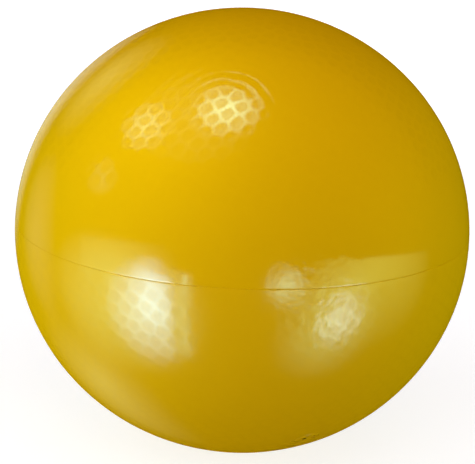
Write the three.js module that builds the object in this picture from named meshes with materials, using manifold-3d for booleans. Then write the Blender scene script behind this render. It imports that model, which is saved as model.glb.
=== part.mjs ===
// Mini pilates ball: a soft vinyl ball whose two half skins meet at a seam round the middle,
// with a push-in plug valve in the lower half.
// Millimetres, +Z up, front towards -Y. The origin is the middle of the patch that the ball rests on.
import * as THREE from 'three';
import { mergeVertices } from 'three/addons/utils/BufferGeometryUtils.js';
import Module from 'manifold-3d';

// Ball
const BALL_WIDTH = 230; // outside, across the widest ring
const BALL_HEIGHT = 225; // outside, pole to pole, before the bottom is pressed flat
const REST_RADIUS = 16; // flat patch that the ball's weight presses on the floor
const SKIN_WALL = 0.8;

// Seam
const SEAM_RISE = 4; // height of the seam over the widest ring
const SEAM_CHAMFER = 0.4; // bevel on each half's edge, which makes the groove of the seam
const LAP_HEIGHT = 5; // lip of the lower skin that stands behind the upper skin's edge
const LAP_WALL = 0.8;

// Valve: where its axis points, in degrees
const VALVE_LATITUDE = -52; // up from level
const VALVE_BEARING = 29; // from the front towards +X

// Valve plug
const HEAD_RADIUS = 5;
const HEAD_THICKNESS = 1.6;
const HEAD_CHAMFER = 0.3;
const STEM_RADIUS = 2.2;
const STEM_LENGTH = 12;
const TIP_RADIUS = 1.5;
const TIP_LENGTH = 2;
const BARB_COUNT = 3;
const BARB_RISE = 0.4;
const BARB_LENGTH = 1.6;
const BARB_PITCH = 2.6;
const PULL_HOLE_RADIUS = 1.2; // moulded hole in the middle of the head
const PULL_HOLE_DEPTH = 5;

// Valve socket
const COLLAR_WALL = 2; // ring of the socket that shows round the plug's head
const FLANGE_REACH = 4; // past the collar, behind the skin
const FLANGE_THICKNESS = 1.4;
const SLEEVE_WALL = 2;
const SOCKET_DEPTH = 12; // from the ball's surface to the sleeve's inner end

// Fits and facets
const CLEARANCE = 0.3; // between neighbouring pieces
const SKIN_SEGMENTS = 64; // round the ball
const SKIN_RINGS = 15; // up each half
const VALVE_SEGMENTS = 32;
const DOME_RINGS = 3; // up each curved face of the valve

// Worked out from the sizes above
const OUTER = { halfWidth: BALL_WIDTH / 2, halfHeight: BALL_HEIGHT / 2 };
const INNER = { halfWidth: OUTER.halfWidth - SKIN_WALL, halfHeight: OUTER.halfHeight - SKIN_WALL };
const MIDDLE = OUTER.halfHeight * Math.sqrt(1 - (REST_RADIUS / OUTER.halfWidth) ** 2);
const FACET_SAG = 2 * OUTER.halfWidth * (1 - Math.cos(Math.PI / SKIN_SEGMENTS));
const BORE_RADIUS = STEM_RADIUS + BARB_RISE + CLEARANCE;
const RECESS_RADIUS = HEAD_RADIUS + CLEARANCE;
const COLLAR_RADIUS = RECESS_RADIUS + COLLAR_WALL;
const FLANGE_RADIUS = COLLAR_RADIUS + FLANGE_REACH;
const SKIN_HOLE_RADIUS = COLLAR_RADIUS + CLEARANCE;

const wasm = await Module();
wasm.setup();

// Outside radius of a skin surface at a height over the ball's middle
function radiusAt(surface, height) {
  return surface.halfWidth * Math.sqrt(1 - (height / surface.halfHeight) ** 2);
}

// Points along a skin surface between two heights over the ball's middle, at even angles
function skinArc(surface, fromHeight, toHeight) {
  const from = Math.asin(fromHeight / surface.halfHeight);
  const to = Math.asin(toHeight / surface.halfHeight);
  return Array.from({ length: SKIN_RINGS + 1 }, (_, ring) => {
    const angle = THREE.MathUtils.lerp(from, to, ring / SKIN_RINGS);
    const radius = surface.halfWidth * Math.cos(angle);
    return new THREE.Vector2(radius, MIDDLE + surface.halfHeight * Math.sin(angle));
  });
}

// Depth of the ball's rounded surface under the valve's middle, at a radius from the valve's axis
function domeDrop(radius) {
  return OUTER.halfWidth - Math.sqrt(OUTER.halfWidth ** 2 - radius ** 2);
}

// Points along a face of the valve that follows the ball's roundness, a depth under its surface
function domeArc(fromRadius, toRadius, depth) {
  return Array.from({ length: DOME_RINGS + 1 }, (_, ring) => {
    const radius = THREE.MathUtils.lerp(fromRadius, toRadius, ring / DOME_RINGS);
    return new THREE.Vector2(radius, -depth - domeDrop(radius));
  });
}

function points(...pairs) {
  return pairs.map(([radius, height]) => new THREE.Vector2(radius, height));
}

// Solid of revolution about +Z, from a profile of radius and height
function turned(profile, segments) {
  return new THREE.LatheGeometry(profile, segments).rotateX(Math.PI / 2);
}

// Closed solid for joining and cutting, from a geometry whose shared corners are still apart
function toSolid(geometry) {
  const bare = geometry.clone();
  bare.deleteAttribute('normal');
  bare.deleteAttribute('uv');
  const merged = mergeVertices(bare);
  const triangles = [];
  const index = merged.index.array;
  for (let i = 0; i < index.length; i += 3) {
    const [a, b, c] = [index[i], index[i + 1], index[i + 2]];
    if (a !== b && b !== c && c !== a) triangles.push(a, b, c);
  }
  const vertProperties = new Float32Array(merged.attributes.position.array);
  const triVerts = new Uint32Array(triangles);
  return new wasm.Manifold(new wasm.Mesh({ numProp: 3, vertProperties, triVerts }));
}

function toGeometry(solid) {
  const mesh = solid.getMesh();
  const geometry = new THREE.BufferGeometry();
  geometry.setAttribute('position', new THREE.BufferAttribute(mesh.vertProperties, 3));
  geometry.setIndex(new THREE.BufferAttribute(mesh.triVerts, 1));
  geometry.computeVertexNormals();
  return geometry;
}

function upperSkin() {
  const edge = SEAM_RISE + CLEARANCE / 2;
  const profile = [
    ...skinArc(INNER, INNER.halfHeight, edge),
    ...points([radiusAt(OUTER, edge) - SEAM_CHAMFER, MIDDLE + edge]),
    ...skinArc(OUTER, edge + SEAM_CHAMFER, OUTER.halfHeight),
  ];
  return turned(profile, SKIN_SEGMENTS);
}

function lowerSkin(valveMatrix) {
  const edge = SEAM_RISE - CLEARANCE / 2;
  const lapTop = SEAM_RISE + LAP_HEIGHT;
  const lapOuter = radiusAt(INNER, lapTop) - CLEARANCE;
  const lapInner = lapOuter - LAP_WALL;
  const profile = [
    ...points([0, 0]),
    ...skinArc(OUTER, -MIDDLE, edge - SEAM_CHAMFER),
    ...points(
      [radiusAt(OUTER, edge) - SEAM_CHAMFER, MIDDLE + edge],
      [lapOuter, MIDDLE + edge],
      [lapOuter, MIDDLE + lapTop],
      [lapInner, MIDDLE + lapTop],
      [lapInner, MIDDLE + edge - LAP_HEIGHT],
    ),
    ...skinArc(INNER, edge - 2 * LAP_HEIGHT, SKIN_WALL - MIDDLE),
    ...points([0, SKIN_WALL]),
  ];
  const hole = new THREE.CylinderGeometry(SKIN_HOLE_RADIUS, SKIN_HOLE_RADIUS, 2 * SOCKET_DEPTH, VALVE_SEGMENTS)
    .rotateX(Math.PI / 2)
    .applyMatrix4(valveMatrix);
  return toGeometry(toSolid(turned(profile, SKIN_SEGMENTS)).subtract(toSolid(hole)));
}

function valveSocket() {
  const seat = -HEAD_THICKNESS - CLEARANCE;
  const flangeDepth = SKIN_WALL + CLEARANCE + FACET_SAG;
  const flangeTop = domeArc(FLANGE_RADIUS, COLLAR_RADIUS, flangeDepth);
  const flangeBottom = Math.min(flangeTop[0].y, seat) - FLANGE_THICKNESS;
  const sleeveRadius = BORE_RADIUS + SLEEVE_WALL;
  const profile = [
    ...points(
      [BORE_RADIUS, -SOCKET_DEPTH],
      [sleeveRadius, -SOCKET_DEPTH],
      [sleeveRadius, flangeBottom],
      [FLANGE_RADIUS, flangeBottom],
    ),
    ...flangeTop,
    ...domeArc(COLLAR_RADIUS, RECESS_RADIUS, 0),
    ...points([RECESS_RADIUS, seat], [BORE_RADIUS, seat], [BORE_RADIUS, -SOCKET_DEPTH]),
  ];
  return turned(profile, VALVE_SEGMENTS);
}

function valvePlug() {
  const tip = -HEAD_THICKNESS - STEM_LENGTH;
  const barbs = Array.from({ length: BARB_COUNT }, (_, barb) => {
    const start = tip + TIP_LENGTH + barb * BARB_PITCH;
    return points(
      [STEM_RADIUS, start],
      [STEM_RADIUS + BARB_RISE, start + BARB_LENGTH],
      [STEM_RADIUS, start + BARB_LENGTH],
    );
  }).flat();
  const rim = HEAD_RADIUS - HEAD_CHAMFER;
  const profile = [
    ...points([0, tip], [TIP_RADIUS, tip]),
    ...barbs,
    ...points([STEM_RADIUS, -HEAD_THICKNESS], [HEAD_RADIUS, -HEAD_THICKNESS]),
    ...points([HEAD_RADIUS, -domeDrop(rim) - HEAD_CHAMFER]),
    ...domeArc(rim, PULL_HOLE_RADIUS, 0),
    ...points([PULL_HOLE_RADIUS, -PULL_HOLE_DEPTH], [0, -PULL_HOLE_DEPTH]),
  ];
  return turned(profile, VALVE_SEGMENTS);
}

// Group whose +Z is the valve's axis and whose origin is on the ball's surface
function valvePlace() {
  const latitude = THREE.MathUtils.degToRad(VALVE_LATITUDE);
  const bearing = THREE.MathUtils.degToRad(VALVE_BEARING);
  const axis = new THREE.Vector3(Math.sin(bearing), -Math.cos(bearing), Math.tan(latitude)).normalize();
  const halves = new THREE.Vector3(OUTER.halfWidth, OUTER.halfWidth, OUTER.halfHeight);
  const stretched = axis.clone().multiply(halves);
  const place = new THREE.Group();
  place.position.copy(stretched).multiply(halves).divideScalar(stretched.length());
  place.position.z += MIDDLE;
  place.quaternion.setFromUnitVectors(new THREE.Vector3(0, 0, 1), axis);
  place.updateMatrix();
  return place;
}

function piece(name, geometry, look) {
  const mesh = new THREE.Mesh(geometry, new THREE.MeshStandardMaterial(look));
  mesh.name = name;
  return mesh;
}

const SKIN_LOOK = { color: 0xd6a408, roughness: 0.32, metalness: 0 };
const SOCKET_LOOK = { color: 0xcf9d0a, roughness: 0.45, metalness: 0 };
const PLUG_LOOK = { color: 0xd9a90f, roughness: 0.38, metalness: 0 };

const valve = valvePlace();
valve.add(piece('valve_socket', valveSocket(), SOCKET_LOOK));
valve.add(piece('valve_plug', valvePlug(), PLUG_LOOK));

const ball = new THREE.Group();
ball.add(piece('upper_skin', upperSkin(), SKIN_LOOK));
ball.add(piece('lower_skin', lowerSkin(valve.matrix), SKIN_LOOK));
ball.add(valve);

export default ball;
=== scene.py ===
"""Looks of a mini pilates ball: a glossy dimpled vinyl skin in two halves, with a push-in plug valve."""

import logging
import math
from dataclasses import dataclass
from enum import Enum

import bpy
import numpy as np
from mathutils import Matrix, Vector, noise
from mathutils.kdtree import KDTree


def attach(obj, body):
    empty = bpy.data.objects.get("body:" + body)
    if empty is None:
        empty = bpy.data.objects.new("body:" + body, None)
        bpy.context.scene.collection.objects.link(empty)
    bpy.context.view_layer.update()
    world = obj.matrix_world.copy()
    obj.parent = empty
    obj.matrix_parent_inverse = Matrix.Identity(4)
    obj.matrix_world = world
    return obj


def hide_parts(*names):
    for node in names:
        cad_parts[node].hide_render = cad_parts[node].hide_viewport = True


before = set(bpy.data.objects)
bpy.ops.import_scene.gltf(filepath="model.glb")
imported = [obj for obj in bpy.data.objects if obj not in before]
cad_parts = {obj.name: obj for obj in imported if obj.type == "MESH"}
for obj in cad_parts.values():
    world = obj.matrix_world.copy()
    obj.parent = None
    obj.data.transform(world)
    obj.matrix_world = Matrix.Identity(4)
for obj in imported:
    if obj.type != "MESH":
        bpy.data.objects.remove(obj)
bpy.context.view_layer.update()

LOG = logging.getLogger("pilates_ball")
IMAGE_WIDTH = 475
MERGE_GAP = 1e-6
STARTER_SIZE = 0.01
SPIN_SECTORS = 8
SMOOTH_ANGLE = math.radians(38)
ENERGY_PER_RADIANCE = 4.0
WHITE = (1.0, 1.0, 1.0, 1.0)

Pair = tuple[float, float]
Point = tuple[float, float, float]
Corner = tuple[float, float, float]
Colour = tuple[float, float, float]
Line = list[Pair]


class Body(Enum):
    """Bodies of the CAD model that pieces ride on."""

    BALL = "ball"
    PLUG = "plug"


class Slot(Enum):
    """Material slots that pieces take their finish from."""

    SKIN = "skin"
    SOCKET = "socket"
    PLUG = "plug"


class Shows(Enum):
    """What a lamp adds to the picture."""

    SHADE = "shade"
    SHINE = "shine"


class Tint(Enum):
    """Colours of the lamps' light."""

    PLAIN = (1.0, 1.0, 1.0)
    COOL = (0.86, 1.0, 0.95)
    MILD = (1.0, 0.89, 0.84)
    WARM = (1.0, 0.6, 0.5)
    AMBER = (1.0, 0.5, 0.43)
    SKY = (0.34, 0.69, 1.0)
    HAZE = (0.46, 0.6, 1.0)
    MINT = (0.46, 1.0, 0.72)
    LIME = (0.53, 1.0, 0.43)
    LEAF = (0.68, 1.0, 0.24)
    HAY = (0.8, 1.0, 0.46)
    STRAW = (0.9, 1.0, 0.86)


class Vinyl(Enum):
    """Colours of the vinyl, each as the deepest and the palest of its clouds; the pull hole's is painted
    shade.
    """

    SKIN = ((0.71, 0.429, 0.0008), (0.73, 0.441, 0.001))
    SOCKET = ((0.69, 0.417, 0.0008), (0.72, 0.435, 0.001))
    PLUG = ((0.7, 0.423, 0.0008), (0.73, 0.441, 0.001))
    # The plug's pull hole is painted near black: painted shade for the shade deep inside the small hole.
    PULL_HOLE = ((0.03, 0.015, 0.0008), (0.04, 0.02, 0.001))


def start_clean() -> None:
    """Leaves edit mode, if it is on, and deselects every object."""
    if bpy.context.mode != "OBJECT":
        bpy.ops.object.mode_set(mode="OBJECT")
    bpy.ops.object.select_all(action="DESELECT")


def make_active(piece: bpy.types.Object) -> None:
    """Selects one object alone and makes it the active one.

    Args:
        piece: The object.
    """
    start_clean()
    piece.select_set(True)
    bpy.context.view_layer.objects.active = piece


def turned(name: str, line: Line, steps: int) -> bpy.types.Object:
    """Draws a line by extruding one vertex, spins it to a sector, and spins copies of that all round.

    Args:
        name: Name of the new piece.
        line: Points of radius and height. It starts and ends on the axis, or ends where it starts.
        steps: Steps all the way round, a multiple of the sectors.

    Returns:
        The closed piece, with its faces outwards.
    """
    start_clean()
    bpy.ops.mesh.primitive_plane_add(size=STARTER_SIZE)
    piece = bpy.context.active_object
    piece.name = name
    piece.data.name = name
    bpy.ops.object.mode_set(mode="EDIT")
    bpy.ops.mesh.merge(type="CENTER")
    bpy.ops.transform.translate(value=(line[0][0], 0, line[0][1]))
    for (radius, height), (next_radius, next_height) in zip(line, line[1:]):
        step = (next_radius - radius, 0, next_height - height)
        bpy.ops.mesh.extrude_region_move(TRANSFORM_OT_translate={"value": step})
    sector = math.tau / SPIN_SECTORS
    round_axis = {"center": (0, 0, 0), "axis": (0, 0, 1)}
    bpy.ops.mesh.select_all(action="SELECT")
    bpy.ops.mesh.spin(steps=steps // SPIN_SECTORS, angle=sector, **round_axis)
    bpy.ops.mesh.select_all(action="SELECT")
    bpy.ops.mesh.spin(dupli=True, steps=SPIN_SECTORS - 1, angle=math.tau - sector, **round_axis)
    bpy.ops.mesh.select_all(action="SELECT")
    bpy.ops.mesh.remove_doubles(threshold=MERGE_GAP)
    bpy.ops.mesh.normals_make_consistent(inside=False)
    bpy.ops.object.mode_set(mode="OBJECT")
    return piece


def filleted(corners: list[Corner], steps: int, closed: bool) -> Line:
    """Rounds the corners of a line.

    Args:
        corners: Radius, height and rounding of each corner.
        steps: Steps in each rounded corner.
        closed: Whether the line ends where it starts.

    Returns:
        The rounded line, whose first point is repeated at its end where it is closed.
    """
    most_reach = 0.45
    line: Line = []
    last = len(corners) - 1
    for place, (radius, height, rounding) in enumerate(corners):
        corner = Vector((radius, height))
        if rounding == 0 or (not closed and place in (0, last)):
            line.append((radius, height))
            continue
        before = Vector(corners[place - 1][:2]) - corner
        after = Vector(corners[0 if place == last else place + 1][:2]) - corner
        reach = rounding / math.tan(before.angle(after) / 2)
        reach = min(reach, most_reach * before.length, most_reach * after.length)
        start = corner + before.normalized() * reach
        end = corner + after.normalized() * reach
        for step in range(steps + 1):
            share = step / steps
            bent = start.lerp(corner, share).lerp(corner.lerp(end, share), share)
            line.append((bent.x, bent.y))
    if closed:
        line.append(line[0])
    return line


def join_frame(piece: bpy.types.Object, body: Body, node: str) -> None:
    """Makes a piece ride on a body, in place of a CAD node.

    Args:
        piece: The finished piece.
        body: Body that it moves with.
        node: CAD node that it stands for.
    """
    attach(piece, body.value)
    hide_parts(node)
    LOG.info("%s: %d vertices, rides on %s", piece.name, len(piece.data.vertices), body.value)


@dataclass(frozen=True)
class BallForm:
    """Sizes of the ball as the CAD model has them, in metres."""

    half_width: float = 0.115
    half_height: float = 0.1125
    rest_radius: float = 0.016
    wall: float = 0.0008
    seam_rise: float = 0.004

    @property
    def middle(self) -> float:
        """Height of the ball's middle over the floor."""
        return self.half_height * math.sqrt(1 - (self.rest_radius / self.half_width) ** 2)

    @property
    def top(self) -> float:
        """Height of the ball's top over the floor."""
        return self.middle + self.half_height

    @property
    def seam(self) -> float:
        """Height of the seam over the floor."""
        return self.middle + self.seam_rise

    def radius_at(self, height: float, depth: float = 0.0) -> float:
        """Radius of the skin at a height over the floor, a depth under its outside."""
        share = (height - self.middle) / (self.half_height - depth)
        return (self.half_width - depth) * math.sqrt(max(0.0, 1 - share**2))

    def arc(self, start: float, end: float, gap: float, depth: float = 0.0) -> Line:
        """Points along the skin between two heights over the floor.

        Args:
            start: Height of the first point.
            end: Height of the last point.
            gap: Distance between neighbouring points, about.
            depth: Depth under the outside of the skin.

        Returns:
            Points of radius and height, at even angles.
        """
        tall = self.half_height - depth
        wide = self.half_width - depth
        shares = [(height - self.middle) / tall for height in (start, end)]
        angles = [math.asin(max(-1.0, min(1.0, share))) for share in shares]
        rings = max(1, round(abs(angles[1] - angles[0]) * wide / gap))
        spread = np.linspace(angles[0], angles[1], rings + 1)
        line = [(wide * math.cos(angle), self.middle + tall * math.sin(angle)) for angle in spread]
        return [(max(0.0, radius), height) for radius, height in line]

    def normal_at(self, point: Vector) -> Vector:
        """Finds which way the skin faces.

        Args:
            point: A point of the skin.

        Returns:
            The outward direction there, of length one.
        """
        wide = self.half_width**2
        tall = self.half_height**2
        return Vector((point.x / wide, point.y / wide, (point.z - self.middle) / tall)).normalized()

    def is_outside(self, point: Vector) -> bool:
        """Tells the outside of a skin from its inner wall and its lip.

        Args:
            point: A point of a skin.

        Returns:
            Whether the point is on the outside.
        """
        half_wall = self.wall / 2
        flat = point.z < half_wall
        radius = math.hypot(point.x, point.y)
        height = (point.z - self.middle) / (self.half_height - half_wall)
        return flat or (radius / (self.half_width - half_wall)) ** 2 + height**2 > 1


class NodeBench:
    """A new material and short ways to add and join its nodes."""

    def __init__(self, name: str) -> None:
        """Makes an empty node material.

        Args:
            name: Name of the material.
        """
        self.material = bpy.data.materials.new(name)
        self.material.use_nodes = True
        self.tree = self.material.node_tree
        self.tree.nodes.clear()

    def add(self, kind: str, **settings: object) -> bpy.types.Node:
        """Adds a node.

        Args:
            kind: Type name of the node, without the word ShaderNode.
            settings: Properties of the node, or values of its input sockets by their name.

        Returns:
            The new node.
        """
        node = self.tree.nodes.new("ShaderNode" + kind)
        for name, value in settings.items():
            if hasattr(node, name):
                setattr(node, name, value)
            else:
                node.inputs[name.replace("_", " ")].default_value = value
        return node

    def join(self, source: bpy.types.NodeSocket, target: bpy.types.NodeSocket) -> None:
        """Links one socket to another."""
        self.tree.links.new(source, target)


@dataclass(frozen=True)
class VinylFinish:
    """Soft vinyl with cloudy colour under a clear gloss, which follows the dimples and is weaker in them.

    Light that goes into the vinyl spreads before it comes out, so the shade under the gloss is smooth.
    """

    name: str
    clouds: Vinyl
    roughness: float = 0.5
    gloss_roughness: float = 0.09
    gloss_ior: float = 1.8
    dimple_gloss: float = 0.42
    dimple_edge: Pair = (0.0, 0.32)
    # How much darker the dimples are painted: painted shade that matches the full gloss's dimming of the
    # webs.
    dimple_painted_shade: float = 0.095
    grazing: Pair = (0.28, 0.5)
    grazing_gloss: float = 0.75
    rim: Pair = (0.5, 0.8)
    rim_gloss: float = 0.48
    smooth_edge: float = 0.1
    cloud_scale: float = 16.0
    cloud_detail: float = 3.0
    cloud_roughness: float = 0.55
    cloud_spread: Pair = (0.3, 0.7)
    scuff_scale: float = 55.0
    scuff_detail: float = 4.0
    scuff_roughness: float = 0.6
    scuff_spread: Pair = (0.4, 0.75)
    scuff_gloss: float = 0.06
    grain_scale: float = 1400.0
    grain_detail: float = 2.0
    grain_strength: float = 0.05
    grain_depth: float = 0.0001
    crinkle_place: Point = (0.036, -0.108, 0.108)
    crinkle_reach: float = 0.04
    crinkle_scale: float = 190.0
    crinkle_detail: float = 1.0
    crinkle_depth: float = 0.00045
    ripple_place: Point = (-0.0111, -0.0811, 0.1904)
    ripple_start: Pair = (0.014, 0.024)
    ripple_end: Pair = (0.024, 0.045)
    ripple_rise: Pair = (0.19, 0.2)
    ripple_pitch: float = 0.0056
    ripple_depth: float = 0.000075
    ripple_wander: float = 0.006
    ripple_wander_scale: float = 45.0
    ripple_wander_detail: float = 1.0

    def make(self, form: BallForm) -> bpy.types.Material:
        """Makes the material.

        Args:
            form: The ball, whose round form shades the vinyl under the dimples.

        Returns:
            The node material, on object coordinates and the dimple attribute.
        """
        bench = NodeBench(self.name)
        place = bench.add("TexCoord").outputs["Object"]
        shader = bench.add(
            "BsdfPrincipled",
            Roughness=self.roughness,
            Specular_IOR_Level=0.0,
            Coat_Roughness=self.gloss_roughness,
            Coat_IOR=self.gloss_ior,
        )
        output = bench.add("OutputMaterial")
        bench.join(shader.outputs["BSDF"], output.inputs["Surface"])
        gloss = self.add_gloss(bench, place, shader)
        self.add_colour(bench, place, gloss, shader)
        self.add_smooth_shade(bench, place, shader, form)
        self.add_grain(bench, place, shader)
        return bench.material

    def add_gloss(
        self, bench: NodeBench, place: bpy.types.NodeSocket, shader: bpy.types.Node
    ) -> bpy.types.NodeSocket:
        """Adds the clear gloss, which is weaker in the dimples, in faint scuffs and at the rim.

        The dimples' own pattern fades towards the rim.

        Args:
            bench: The material's nodes.
            place: Object coordinates.
            shader: Shader that takes the gloss.

        Returns:
            The weight of the gloss as worn, the same from every side.
        """
        dimple = bench.add("Attribute", attribute_name=DimpleField.attribute)
        cell = bench.add(
            "MapRange",
            interpolation_type="SMOOTHSTEP",
            From_Min=self.dimple_edge[0],
            From_Max=self.dimple_edge[1],
            To_Min=1.0,
            To_Max=self.dimple_gloss,
        )
        scuff = bench.add(
            "TexNoise", Scale=self.scuff_scale, Detail=self.scuff_detail, Roughness=self.scuff_roughness
        )
        wear = bench.add(
            "MapRange",
            From_Min=self.scuff_spread[0],
            From_Max=self.scuff_spread[1],
            To_Min=0.0,
            To_Max=self.scuff_gloss,
        )
        worn = bench.add("Math", operation="SUBTRACT")
        facing = bench.add("LayerWeight")
        edge = bench.add(
            "MapRange", From_Min=self.grazing[0], From_Max=self.grazing[1], To_Max=self.grazing_gloss
        )
        even = bench.add("Math", operation="MAXIMUM")
        rim = bench.add(
            "MapRange", From_Min=self.rim[0], From_Max=self.rim[1], To_Min=1.0, To_Max=self.rim_gloss
        )
        gloss = bench.add("Math", operation="MULTIPLY")
        bench.join(dimple.outputs["Fac"], cell.inputs["Value"])
        bench.join(place, scuff.inputs["Vector"])
        bench.join(scuff.outputs["Fac"], wear.inputs["Value"])
        bench.join(cell.outputs["Result"], worn.inputs[0])
        bench.join(wear.outputs["Result"], worn.inputs[1])
        bench.join(facing.outputs["Facing"], edge.inputs["Value"])
        bench.join(worn.outputs["Value"], even.inputs[0])
        bench.join(edge.outputs["Result"], even.inputs[1])
        bench.join(facing.outputs["Facing"], rim.inputs["Value"])
        bench.join(even.outputs["Value"], gloss.inputs[0])
        bench.join(rim.outputs["Result"], gloss.inputs[1])
        bench.join(gloss.outputs["Value"], shader.inputs["Coat Weight"])
        return worn.outputs["Value"]

    def add_colour(
        self,
        bench: NodeBench,
        place: bpy.types.NodeSocket,
        gloss: bpy.types.NodeSocket,
        shader: bpy.types.Node,
    ) -> None:
        """Adds cloudy colour, a little deeper in some places than in others, and painted shade where the
        gloss is weak.

        Args:
            bench: The material's nodes.
            place: Object coordinates.
            gloss: Weight of the gloss.
            shader: Shader that takes the colour.
        """
        cloud = bench.add(
            "TexNoise", Scale=self.cloud_scale, Detail=self.cloud_detail, Roughness=self.cloud_roughness
        )
        ramp = bench.add("ValToRGB")
        stops = zip(ramp.color_ramp.elements, self.cloud_spread, self.clouds.value)
        for stop, position, colour in stops:
            stop.position = position
            stop.color = (*colour, 1)
        # Painted shade: the dimples, where the gloss is weak, are darkened to match the webs, whose
        # colour the full gloss dims.
        shade = bench.add("MapRange", To_Min=1 - self.dimple_painted_shade)
        tint = bench.add("VectorMath", operation="SCALE")
        bench.join(place, cloud.inputs["Vector"])
        bench.join(cloud.outputs["Fac"], ramp.inputs["Fac"])
        bench.join(gloss, shade.inputs["Value"])
        bench.join(ramp.outputs["Color"], tint.inputs["Vector"])
        bench.join(shade.outputs["Result"], tint.inputs["Scale"])
        bench.join(tint.outputs["Vector"], shader.inputs["Base Color"])

    def add_smooth_shade(
        self,
        bench: NodeBench,
        place: bpy.types.NodeSocket,
        shader: bpy.types.Node,
        form: BallForm,
    ) -> None:
        """Shades the vinyl under the dimples as the ball's own round form.

        Args:
            bench: The material's nodes.
            place: Object coordinates.
            shader: Shader that takes the direction of its surface.
            form: The ball.
        """
        squares = (form.half_width**2, form.half_width**2, form.half_height**2)
        from_middle = bench.add("VectorMath", operation="SUBTRACT")
        from_middle.inputs[1].default_value = (0, 0, form.middle)
        slope = bench.add("VectorMath", operation="DIVIDE")
        slope.inputs[1].default_value = squares
        unit = bench.add("VectorMath", operation="NORMALIZE")
        turned_out = bench.add(
            "VectorTransform", vector_type="NORMAL", convert_from="OBJECT", convert_to="WORLD"
        )
        surface = bench.add("NewGeometry")
        dimple = bench.add("Attribute", attribute_name=DimpleField.attribute)
        share = bench.add("MapRange", From_Max=self.smooth_edge)
        mix = bench.add("Mix", data_type="VECTOR")
        bench.join(place, from_middle.inputs[0])
        bench.join(from_middle.outputs["Vector"], slope.inputs[0])
        bench.join(slope.outputs["Vector"], unit.inputs[0])
        bench.join(unit.outputs["Vector"], turned_out.inputs["Vector"])
        bench.join(dimple.outputs["Fac"], share.inputs["Value"])
        bench.join(share.outputs["Result"], mix.inputs["Factor"])
        bench.join(surface.outputs["Normal"], mix.inputs["A"])
        bench.join(turned_out.outputs["Vector"], mix.inputs["B"])
        bench.join(mix.outputs["Result"], shader.inputs["Normal"])

    def add_grain(self, bench: NodeBench, place: bpy.types.NodeSocket, shader: bpy.types.Node) -> None:
        """Adds a fine moulded grain to the gloss, and small crinkles by the seam at the front.

        Args:
            bench: The material's nodes.
            place: Object coordinates.
            shader: Shader that takes the bump.
        """
        grain = bench.add("TexNoise", Scale=self.grain_scale, Detail=self.grain_detail)
        bump = bench.add("Bump", Strength=self.grain_strength, Distance=self.grain_depth)
        crease = bench.add("TexNoise", Scale=self.crinkle_scale, Detail=self.crinkle_detail)
        away = bench.add("VectorMath", operation="DISTANCE")
        away.inputs[1].default_value = self.crinkle_place
        patch = bench.add(
            "MapRange",
            interpolation_type="SMOOTHSTEP",
            From_Max=self.crinkle_reach,
            To_Min=1.0,
            To_Max=0.0,
        )
        height = bench.add("Math", operation="MULTIPLY")
        crinkle = bench.add("Bump", Strength=1.0, Distance=self.crinkle_depth)
        bench.join(place, grain.inputs["Vector"])
        bench.join(grain.outputs["Fac"], bump.inputs["Height"])
        bench.join(place, crease.inputs["Vector"])
        bench.join(place, away.inputs[0])
        bench.join(away.outputs["Value"], patch.inputs["Value"])
        bench.join(crease.outputs["Fac"], height.inputs[0])
        bench.join(patch.outputs["Result"], height.inputs[1])
        bench.join(height.outputs["Value"], crinkle.inputs["Height"])
        bench.join(bump.outputs["Normal"], crinkle.inputs["Normal"])
        rippled = self.add_ripples(bench, place, crinkle.outputs["Normal"])
        bench.join(rippled, shader.inputs["Coat Normal"])

    def add_ripples(
        self, bench: NodeBench, place: bpy.types.NodeSocket, surface: bpy.types.NodeSocket
    ) -> bpy.types.NodeSocket:
        """Adds faint arcs high on the front, where the skin is a little wavy.

        Args:
            bench: The material's nodes.
            place: Object coordinates.
            surface: Direction of the gloss before the arcs.

        Returns:
            The direction of the gloss with the arcs.
        """
        away = bench.add("VectorMath", operation="DISTANCE")
        away.inputs[1].default_value = self.ripple_place
        wander = bench.add("TexNoise", Scale=self.ripple_wander_scale, Detail=self.ripple_wander_detail)
        uneven = bench.add("Math", operation="MULTIPLY_ADD")
        uneven.inputs[1].default_value = self.ripple_wander
        turns = bench.add("Math", operation="MULTIPLY")
        turns.inputs[1].default_value = math.tau / self.ripple_pitch
        wave = bench.add("Math", operation="SINE")
        height_up = bench.add("SeparateXYZ")
        start = bench.add("MapRange", From_Min=self.ripple_start[0], From_Max=self.ripple_start[1])
        end = bench.add(
            "MapRange", From_Min=self.ripple_end[0], From_Max=self.ripple_end[1], To_Min=1.0, To_Max=0.0
        )
        rise = bench.add("MapRange", From_Min=self.ripple_rise[0], From_Max=self.ripple_rise[1])
        bump = bench.add("Bump", Strength=1.0, Distance=self.ripple_depth)
        bench.join(place, away.inputs[0])
        bench.join(place, height_up.inputs["Vector"])
        bench.join(place, wander.inputs["Vector"])
        bench.join(wander.outputs["Fac"], uneven.inputs[0])
        bench.join(away.outputs["Value"], uneven.inputs[2])
        bench.join(uneven.outputs["Value"], turns.inputs[0])
        bench.join(turns.outputs["Value"], wave.inputs[0])
        bench.join(away.outputs["Value"], start.inputs["Value"])
        bench.join(away.outputs["Value"], end.inputs["Value"])
        bench.join(height_up.outputs["Z"], rise.inputs["Value"])
        height = wave.outputs["Value"]
        for mask in (start, end, rise):
            masked = bench.add("Math", operation="MULTIPLY")
            bench.join(height, masked.inputs[0])
            bench.join(mask.outputs["Result"], masked.inputs[1])
            height = masked.outputs["Value"]
        bench.join(height, bump.inputs["Height"])
        bench.join(surface, bump.inputs["Normal"])
        return bump.outputs["Normal"]


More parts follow.
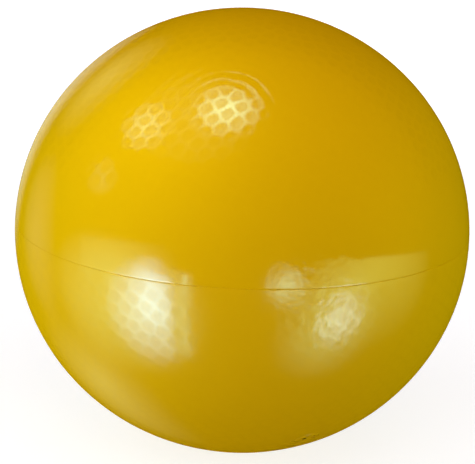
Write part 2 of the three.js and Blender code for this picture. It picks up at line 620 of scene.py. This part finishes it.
@dataclass(frozen=True)
class ValvePlace:
    """Where the valve's axis points from the middle of the ball, in degrees."""

    form: BallForm
    latitude: float = -52.0
    bearing: float = 29.0

    @property
    def axis(self) -> Vector:
        """Works out which way the valve points.

        Returns:
            Its outward direction, of length one.
        """
        bearing = math.radians(self.bearing)
        level = Vector((math.sin(bearing), -math.cos(bearing), 0))
        return (level + Vector((0, 0, math.tan(math.radians(self.latitude))))).normalized()

    @property
    def point(self) -> Vector:
        """Works out where the valve's axis comes out of the ball.

        Returns:
            The point of the ball's surface.
        """
        halves = Vector((self.form.half_width, self.form.half_width, self.form.half_height))
        stretched = self.axis * halves
        return stretched * halves / stretched.length + Vector((0, 0, self.form.middle))

    @property
    def matrix(self) -> Matrix:
        """Turns upright to the valve's axis, and moves the origin to its point."""
        turn = Vector((0, 0, 1)).rotation_difference(self.axis)
        return Matrix.Translation(self.point) @ turn.to_matrix().to_4x4()


@dataclass
class DimpleField:
    """Shallow dimples with thin webs between them, as in a honeycomb, and a bare belt over the seam."""

    form: BallForm
    valve: ValvePlace
    pitch: float = 0.0073
    radius: float = 0.0039
    web: float = 0.0011
    size_spread: float = 0.05
    jitter: float = 0.16
    relax_steps: int = 8
    relax_share: float = 0.22
    neighbours: int = 7
    belt_latitude: float = 22.5
    edge_margin: float = 0.0036
    valve_margin: float = 0.012
    swell: float = 0.00004
    swell_length: float = 0.024
    seed: int = 23

    attribute = "dimple"

    def __post_init__(self) -> None:
        """Sets out the dimples and sorts them for finding the nearest."""
        self.draws = np.random.default_rng(self.seed)
        self.centres = [self.on_skin(point) for point in self.scattered()]
        self.centres = [centre for centre in self.centres if self.is_allowed(centre)]
        scales = self.draws.normal(1.0, self.size_spread, len(self.centres))
        self.scales = np.clip(scales, 1 - 2 * self.size_spread, 1 + 2 * self.size_spread)
        self.tree = self.sorted_tree(self.centres)

    @staticmethod
    def sorted_tree(points: list[Vector]) -> KDTree:
        """Sorts points for finding the nearest.

        Args:
            points: The points.

        Returns:
            The sorted points, each with its place in the list.
        """
        tree = KDTree(len(points))
        for index, point in enumerate(points):
            tree.insert(point, index)
        tree.balance()
        return tree

    def scattered(self) -> list[Vector]:
        """Scatters points over a ball of radius one, as far apart as the pitch.

        Returns:
            The points, after they have pushed each other apart.
        """
        spacing = self.pitch / self.form.half_width
        count = round(4 * math.pi / (spacing**2 * math.sqrt(3) / 2))
        golden_turn = math.pi * (3 - math.sqrt(5))
        points = []
        for index in range(count):
            height = 1 - (2 * index + 1) / count
            radius = math.sqrt(1 - height**2)
            angle = golden_turn * index
            point = Vector((radius * math.cos(angle), radius * math.sin(angle), height))
            points.append((point + Vector(self.draws.normal(0, self.jitter * spacing, 3))).normalized())
        for _ in range(self.relax_steps):
            points = self.relaxed(points, spacing)
        return points

    def relaxed(self, points: list[Vector], spacing: float) -> list[Vector]:
        """Pushes apart the points that are nearer to each other than the spacing.

        Args:
            points: Points on a ball of radius one.
            spacing: Least distance to aim for.

        Returns:
            The moved points.
        """
        tree = self.sorted_tree(points)
        moved = []
        for point in points:
            push = Vector((0, 0, 0))
            for other, _, distance in tree.find_n(point, self.neighbours):
                if 0 < distance < spacing:
                    push += (point - other) * (spacing - distance) / distance
            moved.append((point + push * self.relax_share).normalized())
        return moved

    def on_skin(self, point: Vector) -> Vector:
        """Moves a point from a ball of radius one to the skin.

        Args:
            point: A point on a ball of radius one.

        Returns:
            The point on the skin, and not under the floor.
        """
        halves = Vector((self.form.half_width, self.form.half_width, self.form.half_height))
        placed = point * halves + Vector((0, 0, self.form.middle))
        placed.z = max(placed.z, 0.0)
        return placed

    def is_allowed(self, centre: Vector) -> bool:
        """Keeps dimples clear of the belt, the seam and the valve.

        Args:
            centre: Middle of a dimple.

        Returns:
            Whether the dimple may be pressed there.
        """
        belt_top = self.form.middle + self.form.half_height * math.sin(math.radians(self.belt_latitude))
        clear_of_belt = centre.z > belt_top or centre.z < self.form.seam - self.edge_margin
        return clear_of_belt and (centre - self.valve.point).length > self.valve_margin

    def press(self, piece: bpy.types.Object, depth: float) -> None:
        """Presses the dimples into the outside of a skin, and keeps how deep each vertex is in one.

        Args:
            piece: The skin.
            depth: Depth of a dimple.
        """
        shares = np.zeros(len(piece.data.vertices), dtype=np.float32)
        for vertex in piece.data.vertices:
            point = vertex.co.copy()
            if not self.form.is_outside(point):
                continue
            (_, index, near), (_, _, far) = self.tree.find_n(point, 2)
            reach = min(self.radius, (near + far - self.web) / 2) * self.scales[index]
            share = max(0.0, 1 - (near / reach) ** 2)
            wave = (1 + noise.noise(point / self.swell_length)) * self.swell
            shares[vertex.index] = share
            inward = share**2 * depth * self.scales[index] + wave
            vertex.co = point - self.form.normal_at(point) * inward
        attribute = piece.data.attributes.new(self.attribute, "FLOAT", "POINT")
        attribute.data.foreach_set("value", shares)
        piece.data.update()


@dataclass
class Skin:
    """What both halves of the vinyl skin share."""

    form: BallForm
    dimples: DimpleField
    name: str
    node: str
    finish: VinylFinish
    steps: int
    ring_gap: float
    dimple_depth: float
    seam_gap: float = 0.00002
    edge_round: float = 0.00015
    round_steps: int = 4
    seam_zone: float = 0.004
    seam_ring_gap: float = 0.0008
    inner_ring_gap: float = 0.014

    def line(self) -> Line:
        """Gives the half skin's section, from the axis round the seam's edge to the axis."""
        raise NotImplementedError

    def rounded_edge(self, edge: float, upward: bool) -> Line:
        """The rounded edge of a half skin at the seam.

        Args:
            edge: Height of the edge.
            upward: Whether the edge is the top of its half.

        Returns:
            Points from the outside of the skin to the level edge.
        """
        way = 1 if upward else -1
        shoulder = edge - way * self.edge_round
        radius = self.form.radius_at(shoulder) - self.edge_round
        line = []
        for step in range(1, self.round_steps + 1):
            angle = math.pi / 2 * step / self.round_steps
            across = radius + self.edge_round * math.cos(angle)
            line.append((across, shoulder + way * self.edge_round * math.sin(angle)))
        return line

    def build(self) -> bpy.types.Object:
        """Spins the section and presses the dimples into it.

        Returns:
            The half skin.
        """
        piece = turned(self.name, self.line(), self.steps)
        self.cut(piece)
        self.dimples.press(piece, self.dimple_depth)
        make_active(piece)
        bpy.ops.object.shade_smooth_by_angle(angle=SMOOTH_ANGLE)
        return piece

    def cut(self, piece: bpy.types.Object) -> None:
        """Cuts nothing out of a half skin that has no valve."""

    def dress(self, piece: bpy.types.Object) -> None:
        """Gives the half skin its vinyl, and puts it on the ball in place of the CAD node.

        Args:
            piece: The half skin.
        """
        piece.data.materials.append(self.finish.make(self.form))
        join_frame(piece, Body.BALL, self.node)


@dataclass
class UpperSkin(Skin):
    """The upper half of the skin, with the bare belt at its foot."""

    name: str = "skin_upper"
    node: str = "upper_skin"
    finish: VinylFinish = VinylFinish("upper_vinyl", Vinyl.SKIN)
    steps: int = 600
    ring_gap: float = 0.00125
    dimple_depth: float = 0.00009
    belt_ring_gap: float = 0.004

    def line(self) -> Line:
        """The upper half's section, from the top of the ball round the seam's edge to the top inside.

        Returns:
            Points of radius and height.
        """
        form = self.form
        edge = form.seam + self.seam_gap / 2
        belt_top = form.middle + form.half_height * math.sin(math.radians(self.dimples.belt_latitude))
        belt_top -= self.dimples.radius
        near_seam = form.seam + self.seam_zone
        line = form.arc(form.top, belt_top, self.ring_gap)
        line += form.arc(belt_top, near_seam, self.belt_ring_gap)[1:]
        line += form.arc(near_seam, edge + self.edge_round, self.seam_ring_gap)[1:]
        line += self.rounded_edge(edge, upward=False)
        line += form.arc(edge, form.top - form.wall, self.inner_ring_gap, form.wall)
        return line


@dataclass
class LowerSkin(Skin):
    """The lower half of the skin, with the patch it rests on, the seam's lip and the valve's hole."""

    name: str = "skin_lower"
    node: str = "lower_skin"
    finish: VinylFinish = VinylFinish("lower_vinyl", Vinyl.SKIN, gloss_roughness=0.15, dimple_gloss=0.8)
    steps: int = 560
    ring_gap: float = 0.0013
    dimple_depth: float = 0.00003
    lap_height: float = 0.005
    lap_wall: float = 0.0008
    clearance: float = 0.0003
    hole_radius: float = 0.00742
    hole_depth: float = 0.012
    hole_segments: int = 96

    def line(self) -> Line:
        """The lower half's section, from the floor round the seam's edge and the lip to the floor inside.

        Returns:
            Points of radius and height.
        """
        form = self.form
        edge = form.seam - self.seam_gap / 2
        lap_top = form.seam + self.lap_height
        lap_outer = form.radius_at(lap_top, form.wall) - self.clearance
        lap_inner = lap_outer - self.lap_wall
        near_seam = form.seam - self.seam_zone
        patch_rings = round(form.rest_radius / self.ring_gap)
        line = [(form.rest_radius * ring / patch_rings, 0.0) for ring in range(patch_rings)]
        line += form.arc(0.0, near_seam, self.ring_gap)
        line += form.arc(near_seam, edge - self.edge_round, self.seam_ring_gap)[1:]
        line += self.rounded_edge(edge, upward=True)
        line += [(lap_outer, edge), (lap_outer, lap_top), (lap_inner, lap_top)]
        line += [(lap_inner, edge - self.lap_height)]
        line += form.arc(edge - 2 * self.lap_height, form.wall, self.inner_ring_gap, form.wall)
        line += [(0.0, form.wall)]
        return line

    def cut(self, piece: bpy.types.Object) -> None:
        """Cuts the valve's round hole through the skin.

        Args:
            piece: The lower half skin.
        """
        valve = self.dimples.valve
        start_clean()
        bpy.ops.mesh.primitive_cylinder_add(
            vertices=self.hole_segments,
            radius=self.hole_radius,
            depth=2 * self.hole_depth,
            location=valve.point,
            rotation=valve.matrix.to_euler(),
        )
        cutter = bpy.context.active_object
        make_active(piece)
        hole = piece.modifiers.new("valve_hole", "BOOLEAN")
        hole.operation = "DIFFERENCE"
        hole.solver = "EXACT"
        hole.object = cutter
        bpy.ops.object.modifier_apply(modifier=hole.name)
        bpy.data.objects.remove(cutter)


@dataclass
class Valve:
    """The socket in the lower skin and the plug that is pushed into it, along the valve's axis."""

    place: ValvePlace
    head_radius: float = 0.005
    head_thickness: float = 0.0016
    stem_radius: float = 0.0022
    stem_length: float = 0.012
    tip_radius: float = 0.0015
    tip_length: float = 0.002
    barb_count: int = 3
    barb_rise: float = 0.0004
    barb_length: float = 0.0016
    barb_pitch: float = 0.0026
    pull_hole_radius: float = 0.0012
    pull_hole_depth: float = 0.005
    recess_gap: float = 0.00014
    bore_gap: float = 0.0003
    collar_wall: float = 0.0023
    flange_reach: float = 0.004
    flange_thickness: float = 0.0014
    flange_gap: float = 0.0002
    sleeve_wall: float = 0.002
    socket_depth: float = 0.012
    edge_round: float = 0.0003
    small_round: float = 0.00012
    round_steps: int = 4
    steps: int = 96
    gloss_roughness: float = 0.1

    def drop(self, radius: float) -> float:
        """Depth of the ball's round surface under the valve's middle, at a radius from the axis."""
        ball_radius = self.place.form.half_width
        return ball_radius - math.sqrt(ball_radius**2 - radius**2)

    def placed(self, piece: bpy.types.Object) -> bpy.types.Object:
        """Moves a piece from the upright axis to the valve, with its place in its mesh.

        Args:
            piece: A piece that was spun round the upright axis.

        Returns:
            The same piece, smooth and at the origin.
        """
        make_active(piece)
        piece.matrix_world = self.place.matrix
        bpy.ops.object.transform_apply(location=True, rotation=True, scale=True)
        bpy.ops.object.shade_smooth_by_angle(angle=SMOOTH_ANGLE)
        return piece

    def build_socket(self) -> bpy.types.Object:
        """Spins the socket: a collar in the skin, a flange behind it and a sleeve for the stem.

        Returns:
            The socket at the valve.
        """
        seat = -self.head_thickness - self.bore_gap
        bore = self.stem_radius + self.barb_rise + self.bore_gap
        recess = self.head_radius + self.recess_gap
        collar = recess + self.collar_wall - self.recess_gap
        flange = collar + self.flange_reach
        sleeve = bore + self.sleeve_wall
        under_skin = self.place.form.wall + self.flange_gap
        flange_top = -under_skin - self.drop(flange)
        flange_foot = min(flange_top, seat) - self.flange_thickness
        corners = [
            (bore, -self.socket_depth, self.edge_round),
            (sleeve, -self.socket_depth, self.edge_round),
            (sleeve, flange_foot, self.edge_round),
            (flange, flange_foot, self.edge_round),
            (flange, flange_top, self.edge_round),
            (collar, -under_skin - self.drop(collar), self.small_round),
            (collar, -self.drop(collar), self.edge_round),
            (recess, -self.drop(recess), self.edge_round),
            (recess, seat, self.small_round),
            (bore, seat, self.small_round),
        ]
        line = filleted(corners, self.round_steps, closed=True)
        return self.placed(turned("valve_seat", line, self.steps))

    def build_plug(self) -> bpy.types.Object:
        """Spins the plug: a flush head with a small hole, and a ribbed stem.

        Returns:
            The plug, pushed home.
        """
        tip = -self.head_thickness - self.stem_length
        corners = [(0.0, tip, 0.0), (self.tip_radius, tip, self.edge_round)]
        for barb in range(self.barb_count):
            start = tip + self.tip_length + barb * self.barb_pitch
            crest = self.stem_radius + self.barb_rise
            corners += [
                (self.stem_radius, start, self.small_round),
                (crest, start + self.barb_length, self.small_round),
                (self.stem_radius, start + self.barb_length, self.small_round),
            ]
        hole_top = -self.drop(self.pull_hole_radius)
        corners += [
            (self.stem_radius, -self.head_thickness, self.small_round),
            (self.head_radius, -self.head_thickness, self.small_round),
            (self.head_radius, -self.drop(self.head_radius), self.edge_round),
            (self.pull_hole_radius, hole_top, self.small_round),
            (self.pull_hole_radius, -self.pull_hole_depth, self.edge_round),
            (0.0, -self.pull_hole_depth, 0.0),
        ]
        line = filleted(corners, self.round_steps, closed=False)
        piece = turned("valve_stopper", line, self.steps)
        # Faces inside the pull hole take the second material, whose near-black colour is painted shade.
        for face in piece.data.polygons:
            from_axis = math.hypot(face.center.x, face.center.y)
            foot = -self.pull_hole_depth - self.small_round
            in_depth = foot < face.center.z < hole_top - self.small_round
            face.material_index = int(in_depth and from_axis < self.pull_hole_radius + self.small_round)
        return self.placed(piece)

    def dress(self, seat: bpy.types.Object, stopper: bpy.types.Object) -> None:
        """Gives the valve's pieces their vinyl and the plug's hole its painted shade, and puts them on
        their bodies in place of the CAD nodes.

        Args:
            seat: The socket.
            stopper: The plug.
        """
        vinyls = [
            (seat, "socket_vinyl", Vinyl.SOCKET),
            (stopper, "plug_vinyl", Vinyl.PLUG),
            # The pull hole's near-black colour is painted shade, for the shade deep in the hole.
            (stopper, "pull_hole_painted_shade", Vinyl.PULL_HOLE),
        ]
        for piece, name, clouds in vinyls:
            finish = VinylFinish(name, clouds, gloss_roughness=self.gloss_roughness)
            piece.data.materials.append(finish.make(self.place.form))
        join_frame(seat, Body.BALL, "valve_socket")
        join_frame(stopper, Body.PLUG, "valve_plug")


@dataclass(frozen=True)
class Lamp:
    """A soft lamp that shows in the gloss, aimed at the ball's middle. Its angles are in degrees."""

    name: str
    bearing: float
    elevation: float
    radiance: float
    tint: Tint
    size: Pair
    distance: float = 1.1
    shows: Shows = Shows.SHINE
    fade: float = 0.0
    focus: Pair = (0.5, 0.5)
    roll: float = 0.0

    def hang(self, target: Vector) -> None:
        """Hangs the lamp.

        Args:
            target: Point that the lamp is aimed at.
        """
        bearing = math.radians(self.bearing)
        elevation = math.radians(self.elevation)
        level = math.cos(elevation)
        towards = Vector((math.sin(bearing) * level, -math.cos(bearing) * level, math.sin(elevation)))
        roll = Matrix.Rotation(-math.radians(self.roll), 3, "Z")
        turn = (towards.to_track_quat("Z", "Y").to_matrix() @ roll).to_euler()
        start_clean()
        bpy.ops.object.light_add(type="AREA", location=target + towards * self.distance, rotation=turn)
        lamp = bpy.context.active_object
        lamp.name = self.name
        lamp.data.shape = "RECTANGLE"
        lamp.data.size, lamp.data.size_y = self.size
        lamp.data.energy = self.radiance * self.size[0] * self.size[1] * ENERGY_PER_RADIANCE
        lamp.data.color = self.tint.value
        if self.fade > 0:
            self.fade_edges(lamp.data)
        lamp.visible_camera = False
        lamp.visible_diffuse = self.shows is Shows.SHADE
        lamp.visible_glossy = self.shows is Shows.SHINE
        lamp.data.cycles.use_multiple_importance_sampling = self.shows is Shows.SHINE

    def fade_edges(self, light: bpy.types.Light) -> None:
        """Makes a lamp brightest at its focus and dark at the edges that are farthest from it.

        Args:
            light: The lamp's data.
        """
        light.use_nodes = True
        nodes = light.node_tree.nodes
        links = light.node_tree.links
        place = nodes.new("ShaderNodeTexCoord")
        centred = nodes.new("ShaderNodeMapping")
        scales = [1 / max(along, 1 - along) for along in self.focus]
        starts = [-along * scale for along, scale in zip(self.focus, scales)]
        centred.inputs["Location"].default_value = (*starts, 0)
        centred.inputs["Scale"].default_value = (*scales, 0)
        glow = nodes.new("ShaderNodeTexGradient")
        glow.gradient_type = "SPHERICAL"
        power = nodes.new("ShaderNodeMath")
        power.operation = "POWER"
        power.inputs[1].default_value = self.fade
        links.new(place.outputs["UV"], centred.inputs["Vector"])
        links.new(centred.outputs["Vector"], glow.inputs["Vector"])
        links.new(glow.outputs["Fac"], power.inputs[0])
        links.new(power.outputs["Value"], nodes["Emission"].inputs["Strength"])


@dataclass(frozen=True)
class ShadeLamp(Lamp):
    """A wide lamp that lights the vinyl's colour and doesn't show in the gloss."""

    size: Pair = (1.5, 1.5)
    distance: float = 1.6
    shows: Shows = Shows.SHADE


@dataclass(frozen=True)
class CoveFinish:
    """A plain white paper that glows, a little less round the ball, where it takes a soft shadow."""

    colour: Colour = (0.3, 0.32, 0.36)
    glow: Pair = (0.8, 1.0)
    reach: Pair = (0.15, 0.9)

    def make(self) -> bpy.types.Material:
        """Makes the material.

        Returns:
            A matt white material with a glow.
        """
        bench = NodeBench("cove_paper")
        matt = bench.add("BsdfDiffuse", Color=(*self.colour, 1))
        place = bench.add("TexCoord").outputs["Object"]
        away = bench.add("VectorMath", operation="LENGTH")
        glow = bench.add(
            "MapRange",
            From_Min=self.reach[0],
            From_Max=self.reach[1],
            To_Min=self.glow[0],
            To_Max=self.glow[1],
        )
        light = bench.add("Emission", Color=WHITE)
        both = bench.add("AddShader")
        output = bench.add("OutputMaterial")
        bench.join(place, away.inputs[0])
        bench.join(away.outputs["Value"], glow.inputs["Value"])
        bench.join(glow.outputs["Result"], light.inputs["Strength"])
        bench.join(matt.outputs["BSDF"], both.inputs[0])
        bench.join(light.outputs["Emission"], both.inputs[1])
        bench.join(both.outputs["Shader"], output.inputs["Surface"])
        return bench.material


@dataclass
class Studio:
    """The cove, the lamps, the even light round them, and the camera."""

    form: BallForm
    cove_size: float = 12.0
    cove_height: float = 6.0
    floor_drop: float = 0.0002
    even_light: float = 0.03
    camera_distance: float = 1.2
    camera_elevation: float = 15.72
    camera_roll: float = 2.31
    focal_pixels: float = 2362.5
    sensor_width: float = 36.0
    frame_shift: Pair = (-0.00987, -0.00438)

    @property
    def target(self) -> Vector:
        """The ball's middle."""
        return Vector((0, 0, self.form.middle))

    def lay_cove(self) -> None:
        """Lays a pale floor with walls, which takes the ball's shadow and sends no light back to it."""
        start_clean()
        bpy.ops.mesh.primitive_plane_add(size=self.cove_size, location=(0, 0, -self.floor_drop))
        cove = bpy.context.active_object
        cove.name = "cove"
        bpy.ops.object.mode_set(mode="EDIT")
        bpy.ops.mesh.select_mode(type="EDGE")
        bpy.ops.mesh.select_all(action="SELECT")
        bpy.ops.mesh.extrude_edges_move(TRANSFORM_OT_translate={"value": (0, 0, self.cove_height)})
        bpy.ops.object.mode_set(mode="OBJECT")
        cove.data.materials.append(CoveFinish().make())
        cove.visible_diffuse = False
        cove.visible_glossy = False
        cove.visible_shadow = False

    @staticmethod
    def shade_lamps() -> list[Lamp]:
        """Sets out the lamps that light the vinyl's colour.

        Returns:
            The lamps, each with its bearing, elevation, radiance and tint.
        """
        return [
            ShadeLamp("left_lamp", -70, 25, 0.81, Tint.COOL),
            ShadeLamp("low_left_lamp", -75, -20, 2.53, Tint.COOL),
            ShadeLamp("front_lamp", 0, 40, 1.96, Tint.MILD),
            ShadeLamp("right_lamp", 84, -15, 2.05, Tint.COOL),
            ShadeLamp("under_lamp", -30, -65, 0.79, Tint.WARM),
            ShadeLamp("ceiling_lamp", 0, 80, 0.62, Tint.AMBER),
            ShadeLamp("back_lamp", 180, 25, 0.67, Tint.PLAIN),
            ShadeLamp("rear_lamp", 180, 0, 4.4, Tint.MILD, (1.2, 1.2), distance=2.4),
            ShadeLamp("near_lamp", -27, 42, 3.04, Tint.COOL, (0.07, 0.03), distance=0.19),
        ]

    @staticmethod
    def shine_lamps() -> list[Lamp]:
        """Sets out the lamps that show in the gloss, as windows and soft boxes do.

        Returns:
            The lamps, each with its bearing, elevation, radiance, tint and size.
        """
        return [
            Lamp("top_spot", -31, 75, 5.2, Tint.MINT, (0.58, 0.6), fade=1.0),
            Lamp("side_spot", -80.5, 48.4, 2.1, Tint.MINT, (0.5, 0.44), fade=0.8),
            Lamp("top_glow", -60, 65, 0.34, Tint.MINT, (1.2, 1.0), fade=0.8),
            Lamp("low_spot", -81, 22.7, 0.5, Tint.MINT, (0.36, 0.3), fade=0.7),
            Lamp(
                "left_window", -52.3, -29, 5.2, Tint.SKY, (0.64, 0.98),
                fade=1.0, focus=(0.67, 0.58), roll=16,
            ),
            Lamp("left_core", -43, -19, 4.0, Tint.SKY, (0.4, 0.7), fade=0.9, focus=(0.56, 0.55), roll=-4),
            Lamp(
                "left_band", -54.5, -9.9, 0.63, Tint.LIME, (1.1, 0.5),
                fade=0.9, focus=(0.4, 0.66), roll=-9,
            ),
            Lamp("left_glow", -59.7, -26.6, 1.92, Tint.LIME, (1.96, 1.4), fade=1.2),
            Lamp("left_strip", -26.9, -26.2, 1.8, Tint.MINT, (0.04, 0.8), roll=5),
            Lamp("left_shelf", -31, -27.2, 0.56, Tint.MINT, (0.27, 0.89), roll=8),
            Lamp("left_foot", -123, -51, 0.85, Tint.HAY, (1.5, 0.9), fade=1.4),
            Lamp("right_core", 51.5, -26.7, 3.0, Tint.HAZE, (0.53, 0.66), fade=1.0),
            Lamp("right_spot", 21, -10, 3.1, Tint.MINT, (0.5, 0.51), fade=1.3),
            Lamp("right_glow", 46.5, -28.8, 2.4, Tint.LIME, (1.1, 1.3), fade=1.3),
            Lamp(
                "right_band", 63, -21.8, 1.4, Tint.LEAF, (1.75, 0.82),
                fade=1.1, focus=(0.5, 0.86), roll=10,
            ),
            Lamp("left_back", -156, 0, 1.25, Tint.STRAW, (0.6, 0.7), fade=0.8),
            Lamp("left_side", -118, -11, 0.26, Tint.STRAW, (0.7, 0.9), fade=0.8),
            Lamp("left_haze", -138, 28, 0.78, Tint.HAY, (0.8, 0.76), fade=1.3),
        ]

    def hang_lamps(self) -> None:
        """Hangs the lamps and sets the even light."""
        for lamp in self.shade_lamps() + self.shine_lamps():
            lamp.hang(self.target)
        world = bpy.data.worlds.new("even_light")
        world.use_nodes = True
        background = world.node_tree.nodes["Background"]
        background.inputs["Strength"].default_value = self.even_light
        background.inputs["Color"].default_value = WHITE
        world.cycles_visibility.glossy = False
        bpy.context.scene.world = world

    def set_camera(self) -> None:
        """Sets the camera where the photograph was taken from."""
        elevation = math.radians(self.camera_elevation)
        roll = math.radians(self.camera_roll)
        towards = Vector((0, -math.cos(elevation), math.sin(elevation)))
        level = Vector((1, 0, 0))
        upright = towards.cross(level)
        right = level * math.cos(roll) + upright * math.sin(roll)
        up = upright * math.cos(roll) - level * math.sin(roll)
        turn = Matrix((right, up, towards)).transposed().to_4x4()
        start_clean()
        bpy.ops.object.camera_add()
        camera = bpy.context.active_object
        camera.matrix_world = Matrix.Translation(self.target + towards * self.camera_distance) @ turn
        camera.data.sensor_fit = "HORIZONTAL"
        camera.data.sensor_width = self.sensor_width
        camera.data.lens = self.focal_pixels / IMAGE_WIDTH * self.sensor_width
        camera.data.shift_x, camera.data.shift_y = self.frame_shift
        bpy.context.scene.camera = camera
        bpy.context.scene.view_settings.view_transform = "Standard"


def main() -> None:
    """Builds the ball, its valve and the studio, in that order."""
    logging.basicConfig(level=logging.INFO)
    form = BallForm()
    valve_place = ValvePlace(form)
    dimples = DimpleField(form, valve_place)
    LOG.info("dimples: %d", len(dimples.centres))
    for half in (UpperSkin(form, dimples), LowerSkin(form, dimples)):
        half.dress(half.build())
    valve = Valve(valve_place)
    valve.dress(valve.build_socket(), valve.build_plug())
    studio = Studio(form)
    studio.lay_cove()
    studio.hang_lamps()
    studio.set_camera()


if __name__ == "__main__":
    main()
